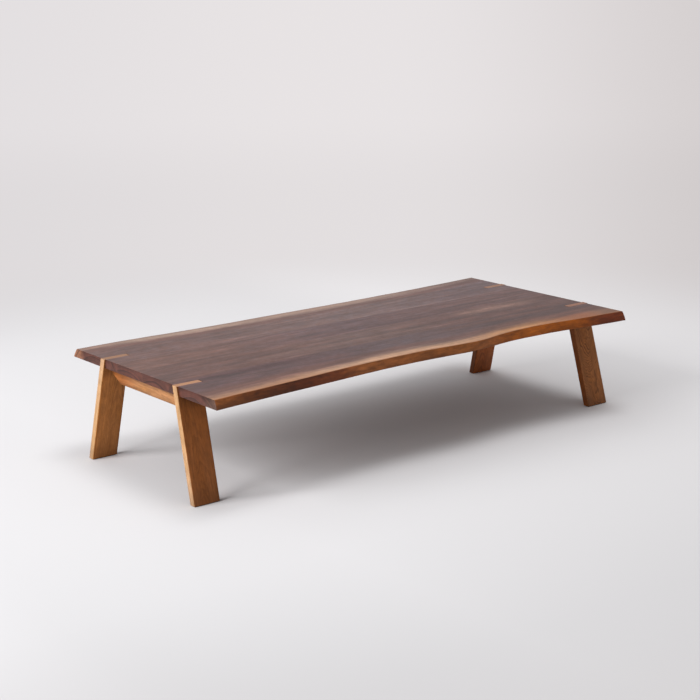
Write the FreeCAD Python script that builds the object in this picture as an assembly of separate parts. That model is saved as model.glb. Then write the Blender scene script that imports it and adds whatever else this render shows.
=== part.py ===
"""Low table: a top of four edge-glued boards with two natural edges, carried by four splayed board legs.

The legs pass up through open slots in the ends of the top and finish flush with its surface. A rail under
each end ties two legs and is bolted to the top, and two battens keep the wide top flat.
Millimetres, +Z up, X along the table, the front natural edge towards -Y. The origin is the centre of the
whole table's box, on the floor.
"""
import FreeCAD, Part
import math
import os

from FreeCAD import Vector

# Whole table
top_length = 1800.0
table_height = 370.0
top_thickness = 31.5
front_reach = 459.0
rear_reach = 433.0
arris_radius = 1.5
fit_gap = 0.25
overrun = 20.0

# Places of the three glue joints, from the middle between the front and rear legs
front_joint_place = -181.0
middle_joint_place = -22.0
rear_joint_place = 137.0

# Legs
leg_width = 96.0
leg_thickness = 25.0
leg_proud = 5.0
leg_lean_out = 11.5
leg_surface_spread = 225.0
leg_splay_out = 97.5
leg_edge_radius = 3.0
slot_tip_gap = 2.5
foot_pad_thickness = 2.0
foot_pad_inset = 4.0

# End rails
rail_height = 51.0
rail_thickness = 26.0
rail_setback = 30.0
rail_shoulder_height = 21.0
rail_corner_length = 52.0
rail_corner_radius = 32.0
tenon_length = 14.0
tenon_inset = 2.0
tenon_thickness = 10.0

# Rail bolts, washers and threaded inserts
bolt_spacing = 110.0
bolt_count = 3
bolt_radius = 4.0
bolt_engagement = 10.4
bolt_tip_chamfer = 0.7
bolt_head_radius = 6.5
bolt_head_height = 8.0
bolt_head_chamfer = 0.7
bolt_socket_flats = 6.0
bolt_socket_depth = 4.0
bolt_hole_radius = 4.5
washer_radius = 8.0
washer_thickness = 1.6
counterbore_radius = 9.0
counterbore_depth = 15.0
insert_radius = 6.0
insert_length = 14.0
insert_flange_radius = 8.0
insert_flange_thickness = 1.5
insert_hole_spare = 2.0
thread_gap = 0.05

# Cross battens and their screws
batten_place = 300.0
batten_length = 640.0
batten_width = 45.0
batten_thickness = 16.0
batten_bevel = 24.0
batten_edge_radius = 2.0
screw_place_shares = (-0.75, -0.3, 0.0, 0.3, 0.75)
screw_length = 36.0
screw_radius = 2.2
screw_head_radius = 4.6
screw_head_height = 2.8
screw_tip_length = 5.0
screw_tip_radius = 0.3
screw_recess_radius = 1.3
screw_recess_depth = 1.8
screw_sink = 0.6
screw_slot_gap = 1.2

# Loose tongues in the glue joints
tongue_length = 44.0
tongue_width = 30.0
tongue_thickness = 8.0
tongue_end_gap = 0.6
tongue_place_shares = (-0.8, -0.48, -0.16, 0.16, 0.48, 0.8)

# Each natural edge: place along half the top's length, then the reach at the surface and at the underside
front_edge_shares = (
    (-1.0, 0.974, 1.0),
    (-0.86, 0.95, 0.974),
    (-0.69, 0.928, 0.949),
    (-0.5, 0.895, 0.924),
    (-0.31, 0.869, 0.897),
    (-0.15, 0.862, 0.885),
    (0.0, 0.867, 0.891),
    (0.1, 0.888, 0.904),
    (0.19, 0.9, 0.912),
    (0.27, 0.892, 0.899),
    (0.35, 0.861, 0.878),
    (0.43, 0.841, 0.865),
    (0.52, 0.831, 0.865),
    (0.63, 0.841, 0.874),
    (0.74, 0.869, 0.899),
    (0.86, 0.889, 0.928),
    (1.0, 0.917, 0.954),
)
rear_edge_shares = (
    (-1.0, 0.945, 1.0),
    (-0.9, 0.945, 0.998),
    (-0.79, 0.942, 0.989),
    (-0.63, 0.924, 0.97),
    (-0.42, 0.904, 0.951),
    (-0.18, 0.902, 0.947),
    (0.1, 0.898, 0.945),
    (0.32, 0.896, 0.943),
    (0.45, 0.903, 0.949),
    (0.58, 0.906, 0.954),
    (0.72, 0.917, 0.965),
    (0.87, 0.933, 0.981),
    (1.0, 0.949, 0.995),
)
edge_swell_share = 0.6

half_length = top_length / 2
underside = table_height - top_thickness
leg_middle_y = (front_reach - rear_reach) / 2
leg_surface_reach = half_length + leg_proud
leg_foot_reach = leg_surface_reach + leg_lean_out
leg_foot_spread = leg_surface_spread + leg_splay_out
leg_splay = math.atan(leg_splay_out / table_height)
leg_depth = leg_thickness / math.cos(leg_splay)
rail_bottom = underside - rail_height
rail_middle_x = half_length - rail_setback - rail_thickness / 2
washer_seat = rail_bottom + counterbore_depth
bolt_seat = washer_seat - washer_thickness
bolt_length = underside - bolt_seat + bolt_engagement
level_tolerance = arris_radius / 10


def save(name, solids):
    """Writes one node from its solids."""
    shape = solids[0] if len(solids) == 1 else Part.makeCompound(solids)
    shape.exportStep("parts/" + name + ".step")


def whole(shape):
    """The one solid of a cut or common result."""
    return shape.removeSplitter().Solids[0]


def box(x, y, z):
    """A box from three pairs of low and high."""
    size = (x[1] - x[0], y[1] - y[0], z[1] - z[0])
    return Part.makeBox(size[0], size[1], size[2], Vector(x[0], y[0], z[0]))


def rod(radius, length, place, direction=Vector(0, 0, 1)):
    """A cylinder from the centre of one end."""
    return Part.makeCylinder(radius, length, place, direction)


# The top

def edge_points(shares, reach, side, level, z):
    """Points of a natural edge at one level: 0 is the surface, 1 the underside."""
    points = []
    for place, surface, under in shares:
        out = surface + (under - surface) * level
        points.append(Vector(place * half_length, leg_middle_y + side * out * reach, z))
    return points


def edge_curve(shares, points):
    curve = Part.BSplineCurve()
    stations = [place - shares[0][0] for place, _, _ in shares]
    curve.interpolate(Points=points, Parameters=stations)
    return curve.toShape()


def top_outline(level, z):
    """The closed outline of the top at one level."""
    front = edge_points(front_edge_shares, front_reach, -1, level, z)
    rear = edge_points(rear_edge_shares, rear_reach, 1, level, z)
    right_end = Part.makeLine(front[-1], rear[-1])
    left_end = Part.makeLine(rear[0], front[0])
    front_edge = edge_curve(front_edge_shares, front)
    rear_edge = edge_curve(rear_edge_shares, rear)
    return Part.Wire(Part.__sortEdges__([front_edge, right_end, rear_edge, left_end]))


def on_level(edge, z):
    """Whether both ends of an edge lie at one height."""
    return all(abs(v.Z - z) < level_tolerance for v in edge.Vertexes)


def top_blank():
    """The whole top before its slots are cut, with softened arrises."""
    levels = ((1, underside), (edge_swell_share, underside + top_thickness / 2), (0, table_height))
    blank = Part.makeLoft([top_outline(level, z) for level, z in levels], True, False)
    arrises = [e for e in blank.Edges if on_level(e, underside) or on_level(e, table_height)]
    return blank.makeFillet(arris_radius, arrises)


def board_limits():
    """Low and high Y of each board, front to rear."""
    front = leg_middle_y - front_reach - overrun
    rear = leg_middle_y + rear_reach + overrun
    joints = [leg_middle_y + p for p in (front_joint_place, middle_joint_place, rear_joint_place)]
    return list(zip([front] + joints, joints + [rear]))


def make_boards():
    """The four boards of the top, with slots, tongue slots and screw and insert holes."""
    blank = top_blank()
    cuts = []
    for side_x in (-1, 1):
        cuts += [leg_slot(side_x, side_y) for side_y in (-1, 1)]
        cuts += [insert_hole(place) for place in bolt_places(side_x)]
        cuts += [screw_pilot(place) for place in screw_places(side_x)]
    for joint in (front_joint_place, middle_joint_place, rear_joint_place):
        cuts += [tongue(place, fit_gap, tongue_end_gap) for place in tongue_places(joint)]
    boards = []
    for low, high in board_limits():
        part = blank.common(box((-top_length, top_length), (low, high), (0, 2 * table_height)))
        near = [c for c in cuts if c.BoundBox.YMax > low and c.BoundBox.YMin < high]
        boards.append(whole(part.cut(near)))
    return boards


# Loose tongues

def tongue_places(joint):
    y = leg_middle_y + joint
    return [Vector(share * half_length, y, underside + top_thickness / 2) for share in tongue_place_shares]


def tongue(place, gap=0.0, end_gap=0.0):
    """A flat tongue with round ends across the joint, or the slot for it."""
    half = tongue_length / 2 - tongue_thickness / 2
    radius = tongue_thickness / 2 + gap
    reach = tongue_width / 2 + end_gap
    ends = []
    for side in (-1, 1):
        ends.append(rod(radius, 2 * reach, place + Vector(side * half, -reach, 0), Vector(0, 1, 0)))
    low, high = place + Vector(-half, -reach, -radius), place + Vector(half, reach, radius)
    middle = box((low.x, high.x), (low.y, high.y), (low.z, high.z))
    return whole(middle.fuse(ends))


# Legs

def leg_lean(side_x, side_y, rise):
    """How far a leg moves in X and Y over a rise in height."""
    share = rise / table_height
    x = -side_x * leg_lean_out * share
    y = -side_y * leg_splay_out * share
    return Vector(x, y, rise)


def leg_section(side_x, side_y, z, outer_gap=0.0, tip_gap=0.0, side_gap=0.0):
    """A leg's level section with rounded corners, at one height."""
    lean = leg_lean(side_x, side_y, z)
    outer = side_x * (leg_foot_reach + outer_gap) + lean.x
    inner = side_x * (leg_foot_reach - leg_width - tip_gap) + lean.x
    middle = leg_middle_y + side_y * leg_foot_spread + lean.y
    half = leg_depth / 2 + side_gap
    low, high = min(outer, inner), max(outer, inner)
    plate = box((low, high), (middle - half, middle + half), (z, z + overrun))
    corners = [e for e in plate.Edges if abs(e.Vertexes[0].Z - e.Vertexes[1].Z) > overrun / 2]
    soft = plate.makeFillet(leg_edge_radius, corners)
    return min(soft.Faces, key=lambda face: face.CenterOfMass.z)


def leg_slot(side_x, side_y):
    """The open slot for a leg in the end of the top, running with the leg's splay."""
    start = underside - overrun
    section = leg_section(side_x, side_y, start, overrun, slot_tip_gap, fit_gap)
    return section.extrude(leg_lean(side_x, side_y, top_thickness + 2 * overrun))


def make_leg(side_x, side_y):
    foot = leg_section(side_x, side_y, foot_pad_thickness)
    leg = foot.extrude(leg_lean(side_x, side_y, table_height - foot_pad_thickness))
    rim = [e for e in leg.Edges if on_level(e, foot_pad_thickness)]
    leg = leg.makeFillet(arris_radius, rim)
    return whole(leg.cut(rail_tenon(side_x, side_y, fit_gap)))


def make_foot_pad(side_x, side_y):
    """A thin pad inside the outline of the foot."""
    section = leg_section(side_x, side_y, 0, -foot_pad_inset, -foot_pad_inset, -foot_pad_inset)
    return section.extrude(Vector(0, 0, foot_pad_thickness))


# End rails

def leg_inner_y(z):
    """Half the clear way between two legs of one end, at one height."""
    return leg_foot_spread - leg_splay_out * z / table_height - leg_depth / 2


def rail_profile():
    """The rail seen from the end: lower corners cut away and rounded, shoulders along the splayed legs."""
    shoulder = underside - rail_shoulder_height
    foot = leg_inner_y(shoulder) - fit_gap - rail_corner_length
    half = (
        (leg_inner_y(underside) - fit_gap, underside),
        (leg_inner_y(shoulder) - fit_gap, shoulder),
        (foot, rail_bottom),
    )
    right = [Vector(0, leg_middle_y + y, z) for y, z in half]
    left = [Vector(0, leg_middle_y - y, z) for y, z in reversed(half)]
    return Part.Face(Part.makePolygon(right + left + right[:1]))


def rail_tenon(side_x, side_y, gap=0.0):
    """The short tenon at one end of a rail, or the mortise for it."""
    middle_z = underside - rail_shoulder_height / 2
    root = leg_inner_y(middle_z) - tenon_length / 2
    tip = leg_inner_y(middle_z) + tenon_length + 2 * gap
    ys = sorted((leg_middle_y + side_y * root, leg_middle_y + side_y * tip))
    x = side_x * rail_middle_x
    half = (tenon_thickness / 2 + gap, rail_shoulder_height / 2 - tenon_inset + gap)
    return box((x - half[0], x + half[0]), ys, (middle_z - half[1], middle_z + half[1]))


def make_rail(side_x):
    start = side_x * rail_middle_x - rail_thickness / 2
    rail = rail_profile().extrude(Vector(rail_thickness, 0, 0))
    lower = [e for e in rail.Edges if on_level(e, rail_bottom) and e.Length < 2 * rail_thickness]
    rail = rail.makeFillet(rail_corner_radius, lower)
    long_arrises = [e for e in rail.Edges if below_top(e) and not along_x(e)]
    rail = rail.makeFillet(arris_radius, long_arrises)
    rail.translate(Vector(start, 0, 0))
    rail = rail.fuse([rail_tenon(side_x, side_y) for side_y in (-1, 1)])
    return whole(rail.cut([bolt_way(place) for place in bolt_places(side_x)]))


def below_top(edge):
    """Whether an edge lies wholly under the rail's shoulders."""
    return edge.BoundBox.ZMax < underside - rail_shoulder_height + level_tolerance


def along_x(edge):
    return edge.BoundBox.XLength > rail_thickness / 2


# Bolts through the rails

def bolt_places(side_x):
    """Each bolt's place, at the rail's underside."""
    places = []
    for number in range(bolt_count):
        y = leg_middle_y + (number - (bolt_count - 1) / 2) * bolt_spacing
        places.append(Vector(side_x * rail_middle_x, y, rail_bottom))
    return places


def raised(place, z):
    return Vector(place.x, place.y, z)


def bolt_way(place):
    """The bolt's clearance hole, with the counterbore for its head and washer."""
    hole = rod(bolt_hole_radius, rail_height + 2 * overrun, raised(place, rail_bottom - overrun))
    bore = rod(counterbore_radius, counterbore_depth + overrun, raised(place, rail_bottom - overrun))
    return hole.fuse(bore)


def hexagon(flats, place, height):
    """A hexagonal prism by its width across flats."""
    corner = flats / math.sqrt(3)
    ring = [place + Vector(corner * math.cos(a), corner * math.sin(a), 0) for a in sixths()]
    return Part.Face(Part.makePolygon(ring + ring[:1])).extrude(Vector(0, 0, height))


def sixths():
    return [math.radians(60 * k) for k in range(6)]


def make_bolt(place):
    """A socket-head bolt that points up, with softened head and tip."""
    base = raised(place, bolt_seat - bolt_head_height)
    head = rod(bolt_head_radius, bolt_head_height, base)
    head = head.makeChamfer(bolt_head_chamfer, [e for e in head.Edges if on_level(e, base.z)])
    shank = rod(bolt_radius, bolt_length, raised(place, bolt_seat))
    tip = [e for e in shank.Edges if on_level(e, bolt_seat + bolt_length)]
    shank = shank.makeChamfer(bolt_tip_chamfer, tip)
    return whole(head.fuse(shank).cut(hexagon(bolt_socket_flats, base, bolt_socket_depth)))


def make_washer(place):
    low = raised(place, bolt_seat)
    return rod(washer_radius, washer_thickness, low).cut(rod(bolt_hole_radius, washer_thickness, low))


def make_insert(place):
    """A threaded insert whose flange lies flush in the underside of the top."""
    low = raised(place, underside)
    body = rod(insert_radius, insert_length, low)
    flange = rod(insert_flange_radius, insert_flange_thickness, low)
    bore = rod(bolt_radius + thread_gap, insert_length, low)
    return whole(body.fuse(flange).cut(bore))


def insert_hole(place):
    """The hole in the top for an insert, deep enough for the bolt's tip too."""
    low = raised(place, underside - overrun)
    depth = max(insert_length, bolt_engagement) + insert_hole_spare
    body = rod(insert_radius + thread_gap, overrun + depth, low)
    flange = rod(insert_flange_radius + thread_gap, overrun + insert_flange_thickness, low)
    return body.fuse(flange)


# Cross battens and screws

def make_batten(side_x):
    """A batten with bevelled ends and softened lower arrises."""
    low = underside - batten_thickness
    half = batten_length / 2
    ends = ((half, underside), (half - batten_bevel, low), (batten_bevel - half, low), (-half, underside))
    x = side_x * batten_place - batten_width / 2
    points = [Vector(x, leg_middle_y + y, z) for y, z in ends]
    batten = Part.Face(Part.makePolygon(points + points[:1])).extrude(Vector(batten_width, 0, 0))
    batten = batten.makeFillet(batten_edge_radius, [e for e in batten.Edges if on_level(e, low)])
    return whole(batten.cut([screw_way(place) for place in screw_places(side_x)]))


def screw_places(side_x):
    """Each screw's place, at the level of its sunk head."""
    low = underside - batten_thickness + screw_sink
    half = batten_length / 2
    return [Vector(side_x * batten_place, leg_middle_y + s * half, low) for s in screw_place_shares]


def make_screw(place):
    """A countersunk wood screw that points up."""
    head = Part.makeCone(screw_head_radius, screw_radius, screw_head_height, place)
    shank_length = screw_length - screw_head_height - screw_tip_length
    shank = rod(screw_radius, shank_length, raised(place, place.z + screw_head_height))
    shoulder = raised(place, place.z + screw_length - screw_tip_length)
    tip = Part.makeCone(screw_radius, screw_tip_radius, screw_tip_length, shoulder)
    recess = rod(screw_recess_radius, screw_recess_depth, place)
    return whole(head.fuse([shank, tip]).cut(recess))


def screw_way(place):
    """The clearance hole and countersink in a batten, slotted across the top so that the boards can move."""
    rise = batten_thickness + 2 * overrun
    half = screw_slot_gap
    hole = box((place.x - screw_radius - fit_gap, place.x + screw_radius + fit_gap),
               (place.y - half, place.y + half), (place.z - overrun, place.z - overrun + rise))
    rounds = [rod(screw_radius + fit_gap, rise, place + Vector(0, side * half, -overrun)) for side in (-1, 1)]
    wide = screw_head_radius + fit_gap
    sink = Part.makeCone(wide, screw_radius + fit_gap, screw_head_height, place)
    mouth = rod(wide, overrun, place + Vector(0, 0, -overrun))
    return hole.fuse(rounds + [sink, mouth])


def screw_pilot(place):
    """The screw's hole in the underside of the top."""
    radius = screw_radius + thread_gap
    shoulder = raised(place, place.z + screw_length - screw_tip_length)
    hole = rod(radius, shoulder.z - underside + overrun, raised(place, underside - overrun))
    tip = Part.makeCone(radius, screw_tip_radius + thread_gap, screw_tip_length + thread_gap, shoulder)
    return hole.fuse(tip)


def main():
    os.makedirs("parts", exist_ok=True)
    names = ("top_front_board", "top_front_middle_board", "top_rear_middle_board", "top_rear_board")
    for name, board in zip(names, make_boards()):
        save(name, [board])
    joints = (("front", front_joint_place), ("middle", middle_joint_place), ("rear", rear_joint_place))
    for name, joint in joints:
        save(name + "_joint_tongues", [tongue(place) for place in tongue_places(joint)])
    for end, side_x in (("left", -1), ("right", 1)):
        for side, side_y in (("front", -1), ("rear", 1)):
            save("leg_" + side + "_" + end, [make_leg(side_x, side_y)])
            save("foot_pad_" + side + "_" + end, [make_foot_pad(side_x, side_y)])
        save("rail_" + end, [make_rail(side_x)])
        save(end + "_rail_bolts", [make_bolt(place) for place in bolt_places(side_x)])
        save(end + "_bolt_washers", [make_washer(place) for place in bolt_places(side_x)])
        save(end + "_top_inserts", [make_insert(place) for place in bolt_places(side_x)])
        save("cross_batten_" + end, [make_batten(side_x)])
        save(end + "_batten_screws", [make_screw(place) for place in screw_places(side_x)])


main()
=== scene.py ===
"""Looks of the low table: dark top, pale natural edges, pale legs and rails, metal parts and felt.

Metres, +Z up, X along the table, the front natural edge towards -Y, the floor at zero.
"""
import math

import bmesh
import bpy
from mathutils import Matrix, Vector, noise
from mathutils.bvhtree import BVHTree


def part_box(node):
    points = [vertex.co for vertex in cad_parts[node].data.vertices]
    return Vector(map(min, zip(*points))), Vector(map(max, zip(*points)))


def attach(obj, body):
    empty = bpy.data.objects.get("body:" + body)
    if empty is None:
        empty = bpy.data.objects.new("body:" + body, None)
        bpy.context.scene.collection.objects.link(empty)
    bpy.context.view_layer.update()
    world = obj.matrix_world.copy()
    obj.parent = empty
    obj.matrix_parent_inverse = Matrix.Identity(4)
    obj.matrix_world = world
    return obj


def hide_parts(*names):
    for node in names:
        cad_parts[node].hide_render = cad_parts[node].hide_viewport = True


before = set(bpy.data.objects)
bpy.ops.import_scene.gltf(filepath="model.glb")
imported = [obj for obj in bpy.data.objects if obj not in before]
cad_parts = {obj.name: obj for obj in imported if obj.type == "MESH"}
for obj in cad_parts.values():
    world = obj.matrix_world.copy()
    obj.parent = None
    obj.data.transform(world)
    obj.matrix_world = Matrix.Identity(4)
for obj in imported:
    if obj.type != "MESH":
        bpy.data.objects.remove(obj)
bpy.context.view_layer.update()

# Where the top lies in the model
HALF_LENGTH = 0.900
SURFACE = 0.370
UNDERSIDE = 0.3385
ARRIS = 0.0015
FRONT_JOINT_Y = -0.168
REAR_JOINT_Y = 0.150

# Where the legs lie, which lean inwards from the floor to the surface
LEG_MIDDLE_Y = 0.013  # midway between the front and the rear legs
LEG_FOOT_Y = 0.3225  # from there to the middle of a foot
LEG_FOOT_X = 0.9165  # outer side of a foot
LEG_WIDTH = 0.096
LEG_THICKNESS = 0.025
LEG_RISE = 0.370
LEG_SPLAY = 0.0975  # how far a leg leans inwards across the table
LEG_LEAN = 0.0115  # how far it leans inwards along the table
LEG_GRAIN_X = 0.8626  # with the next one, the point that a leg's grain is laid from
LEG_GRAIN_Z = 0.190

# Where the rails and tongues lie
RAIL_X = 0.857
RAIL_Z = 0.313
TONGUE_Z = 0.354

ALONG_TABLE = (1.0, 0.0, 0.0)
ACROSS_TABLE = (0.0, 1.0, 0.0)
UP = (0.0, 0.0, 1.0)
DOWN = (0.0, 0.0, -1.0)
ORIGIN = (0.0, 0.0, 0.0)
SIDES = {"left": -1, "right": 1}


class Sketch:
    """Adds nodes to one shader tree and links them."""

    def __init__(self, tree):
        self.tree = tree

    def feed(self, socket, value):
        if isinstance(value, bpy.types.NodeSocket):
            self.tree.links.new(value, socket)
        else:
            socket.default_value = value

    def add(self, kind, inputs=None, **settings):
        made = self.tree.nodes.new("ShaderNode" + kind)
        for name, value in settings.items():
            setattr(made, name, value)
        for name, value in (inputs or {}).items():
            self.feed(made.inputs[name], value)
        return made

    def math(self, operation, a, b=0.0, clamp=False):
        return self.add("Math", {0: a, 1: b}, operation=operation, use_clamp=clamp).outputs[0]

    def product(self, first, *others):
        """The first value times each of the others."""
        for other in others:
            first = self.math("MULTIPLY", first, other)
        return first

    def total(self, first, *others):
        """The first value plus each of the others."""
        for other in others:
            first = self.math("ADD", first, other)
        return first

    def minus(self, a, b):
        return self.math("SUBTRACT", a, b)

    def swing(self, value, width):
        """A value round a half, turned into one round zero that swings over this width."""
        return self.product(self.minus(value, 0.5), width)

    def vector(self, operation, a, b=ORIGIN):
        made = self.add("VectorMath", {0: a, 1: b}, operation=operation)
        return made.outputs["Value" if operation in ("DOT_PRODUCT", "LENGTH") else "Vector"]

    def scaled(self, vector, amount):
        return self.add("VectorMath", {0: vector, 3: amount}, operation="SCALE").outputs[0]

    def shaded(self, tone, amount):
        """A colour times a value: darker below one and lighter above it."""
        return self.scaled(tone if isinstance(tone, bpy.types.NodeSocket) else tone[:3], amount)

    def noise(self, place, stretch, detail=2.0, roughness=0.5, seed=0.0):
        """Soft noise round a half. The larger the stretch, the finer it is in that direction."""
        inputs = {"Vector": self.vector("MULTIPLY", place, stretch), "Scale": 1.0, "W": seed}
        inputs.update({"Detail": detail, "Roughness": roughness})
        return self.add("TexNoise", inputs, noise_dimensions="4D").outputs["Fac"]

    def step(self, value, low, high, start=0.0, end=1.0):
        """A smooth rise from start to end while the value goes from low to high."""
        inputs = {"Value": value, "From Min": low, "From Max": high, "To Min": start, "To Max": end}
        return self.add("MapRange", inputs, interpolation_type="SMOOTHSTEP").outputs[0]

    def span(self, value, low, high, start=0.0, end=1.0):
        """A straight rise from start to end while the value goes from low to high."""
        inputs = {"Value": value, "From Min": low, "From Max": high, "To Min": start, "To Max": end}
        return self.add("MapRange", inputs, clamp=True).outputs[0]

    def mix(self, share, first, second):
        return self.add("Mix", {0: share, 6: first, 7: second}, data_type="RGBA").outputs[2]

    def parts(self, place):
        return self.add("SeparateXYZ", {0: place}).outputs[:]

    def normal(self):
        return self.add("NewGeometry").outputs["Normal"]


SOCKETS = {"VALUE": "NodeSocketFloat", "VECTOR": "NodeSocketVector", "RGBA": "NodeSocketColor"}


def effect(**inputs):
    """Makes a node group with these inputs of the function below it, which gives the outputs.

    An underscore in an input's name is a space, as in place_effect.
    """

    def build(draw):
        tree = bpy.data.node_groups.new(draw.__name__, "ShaderNodeTree")
        for name, value in inputs.items():
            kind = SOCKETS["VALUE" if isinstance(value, float) else "VECTOR"]
            label = name.replace("_", " ")
            socket = tree.interface.new_socket(label, in_out="INPUT", socket_type=kind)
            socket.default_value = value
        s = Sketch(tree)
        drawn = draw(s, tree.nodes.new("NodeGroupInput").outputs)
        for label, value in drawn.items():
            tree.interface.new_socket(label, in_out="OUTPUT", socket_type=SOCKETS[value.type])
        leave = tree.nodes.new("NodeGroupOutput")
        for label, value in drawn.items():
            s.feed(leave.inputs[label], value)
        return tree

    return build


def place_effect(s, group, **values):
    """Places a node group in a material with its own values. An underscore in a name is a space."""
    made = s.add("Group", node_tree=group)
    for name, value in values.items():
        s.feed(made.inputs[name.replace("_", " ")], value)
    return made.outputs


def picked(outputs, *names):
    """Some outputs of a placed group, under the names by which another group takes them in."""
    return {name.replace(" ", "_"): outputs[name] for name in names}


def colour(red, green, blue):
    return (red, green, blue, 1.0)


# Effects of all woods, of which the metal parts have the worn arris too

PORE_STRENGTH = 0.4
RELIEF_DEPTH = 0.0003


@effect(
    Place=ORIGIN, Heart=(0.0, 0.0, -0.1), Ring_Width=0.004, Lift=0.0, Sway=(1.3, 5.0, 5.0),
    Waver=0.02, Seed=0.0,
)
def growth_rings(s, given):
    """Yearly rings round a heart that leaves the board slowly, so that a flat cut shows arches."""
    place, seed = given["Place"], given["Seed"]
    sway_y = s.minus(s.noise(place, given["Sway"], 2.0, 0.45, seed), 0.5)
    sway_z = s.minus(s.noise(place, given["Sway"], 2.0, 0.45, s.total(seed, 7.3)), 0.5)
    swayed = s.scaled(s.add("CombineXYZ", {1: sway_y, 2: sway_z}).outputs[0], given["Waver"])
    away = s.vector("SUBTRACT", s.vector("ADD", place, swayed), given["Heart"])
    along, _, _ = s.parts(away)
    radius = s.vector("LENGTH", s.vector("MULTIPLY", away, (0.0, 1.0, 1.0)))
    radius = s.total(radius, s.product(along, given["Lift"]))
    quick = s.noise(place, (14.0, 90.0, 90.0), seed=seed)
    years = s.total(s.math("DIVIDE", radius, given["Ring Width"]), s.product(quick, 0.45))
    part = s.math("FRACT", years)
    year = s.total(s.math("FLOOR", years), seed)
    return {
        "Late Wood": s.product(s.step(part, 0.25, 0.9), s.step(part, 0.93, 1.0, 1.0, 0.0)),
        "Ring Tone": s.add("TexWhiteNoise", {"W": year}, noise_dimensions="1D").outputs["Value"],
    }


# Each kind of mark in the grain: its name, stretch, detail and place among the seeds
FIBRE_KINDS = (
    ("Fibres", (60.0, 900.0, 900.0), 2.0, 0.0),
    ("Flecks", (24.0, 260.0, 260.0), 2.0, 1.3),
    ("Streaks", (7.0, 120.0, 120.0), 3.0, 2.9),
    ("Mottle", (42.0, 56.0, 56.0), 2.0, 6.6),
    ("Figure", (8.0, 40.0, 40.0), 2.0, 9.4),
    ("Bands", (1.7, 36.0, 36.0), 2.0, 4.1),
    ("Clouds", (2.4, 9.0, 9.0), 2.0, 5.7),
    ("Drift", (2.2, 16.0, 16.0), 1.0, 8.2),
)


@effect(Place=ORIGIN, Seed=0.0)
def long_fibres(s, given):
    """Fibres, flecks, streaks, mottle and broad bands that run along the board."""
    place, seed = given["Place"], given["Seed"]
    bend = s.swing(s.noise(place, (2.2, 7.0, 7.0), 1.0, 0.5, seed), 0.03)
    bent = s.vector("ADD", place, s.add("CombineXYZ", {1: bend, 2: bend}).outputs[0])
    return {
        label: s.noise(bent, stretch, detail, 0.55, s.total(seed, later))
        for label, stretch, detail, later in FIBRE_KINDS
    }


@effect(Place=ORIGIN, Length=0.006, Spacing=0.0011, Size=0.3, Seed=0.0)
def open_pores(s, given):
    """Short dark pores drawn out along the fibres, round where the board is cut across."""
    cell = (given["Length"], given["Spacing"], given["Spacing"])
    parts = s.parts(given["Place"])
    shrunk = {axis: s.math("DIVIDE", part, cell[axis]) for axis, part in enumerate(parts)}
    inputs = {"Vector": s.add("CombineXYZ", shrunk).outputs[0], "W": given["Seed"], "Scale": 1.0}
    distance = s.add("TexVoronoi", inputs, voronoi_dimensions="4D").outputs["Distance"]
    return {"Pores": s.step(distance, s.product(given["Size"], 0.55), given["Size"], 1.0, 0.0)}


@effect(Along=ALONG_TABLE)
def cut_across(s, given):
    """Where the surface lies across a direction: nearly straight across, and more broadly."""
    facing = s.math("ABSOLUTE", s.vector("DOT_PRODUCT", s.normal(), given["Along"]))
    return {"End Grain": s.step(facing, 0.6, 0.9), "Broad": s.step(facing, 0.5, 0.85)}


@effect(Direction=UP, Low=0.5, High=0.85)
def turned_towards(s, given):
    """The side of a board that is turned towards a direction."""
    turn = s.vector("DOT_PRODUCT", s.normal(), given["Direction"])
    return {"Side": s.step(turn, given["Low"], given["High"])}


@effect(Place=ORIGIN, Width=0.002)
def worn_arris(s, given):
    """A thin line of handling along the arrises, broken up by a little noise."""
    rounded = s.add("Bevel", {"Radius": given["Width"]}, samples=6).outputs[0]
    turn = s.minus(1.0, s.vector("DOT_PRODUCT", rounded, s.normal()))
    patchy = s.noise(given["Place"], (30.0, 60.0, 60.0), 2.0, 0.6)
    return {"Wear": s.product(s.step(turn, 0.02, 0.22), s.step(patchy, 0.3, 0.7, 0.45, 1.0))}


@effect(Fibres=0.5, Pores=0.0, Smooth=0.4, Rough=0.5, Pore_Roughness=0.2, Fibre_Height=0.25)
def oiled_face(s, given):
    """How rough the oiled wood is, and how high it stands where fibres rise and pores are open."""
    rough = s.span(given["Fibres"], 0.2, 0.8, given["Smooth"], given["Rough"])
    return {
        "Roughness": s.total(rough, s.product(given["Pores"], given["Pore Roughness"])),
        "Height": s.minus(s.product(given["Fibres"], given["Fibre Height"]), given["Pores"]),
    }


# Dark boards of the top

WARM_PATCH = colour(0.195, 0.108, 0.082)
DARK_LINE = colour(0.045, 0.014, 0.013)
DARKEST_LINE = colour(0.036, 0.010, 0.010)
PORE = colour(0.030, 0.012, 0.009)
REAR_RED = colour(0.120, 0.050, 0.036)
FRONT_WARM = colour(0.118, 0.045, 0.026)
END_FACE = colour(0.0585, 0.0192, 0.0130)
HANDLED = colour(0.23, 0.125, 0.085)
WARM_TINT = colour(1.17, 1.06, 0.96)
MAUVE_TINT = colour(0.86, 0.95, 1.04)
SAPWOOD_GRAIN = 0.45  # how strong the grain is in the sapwood, against one in the dark wood
HANDLED_STRENGTH = 0.45
DARK_FACE = {"Smooth": 0.40, "Rough": 0.52, "Pore_Roughness": 0.2, "Fibre_Height": 0.25}

# Each kind of mark, and what it makes of the dark wood's shade where it is lightest and darkest
DARK_GRAIN = (
    ("Clouds", 1.06, 0.94),
    ("Bands", 1.32, 0.72),
    ("Figure", 1.32, 0.74),
    ("Mottle", 1.28, 0.77),
    ("Streaks", 1.27, 0.77),
    ("Flecks", 1.27, 0.78),
    ("Fibres", 1.14, 0.87),
)
DARK_KINDS = [label for label, _, _ in DARK_GRAIN] + ["Drift"]


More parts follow.
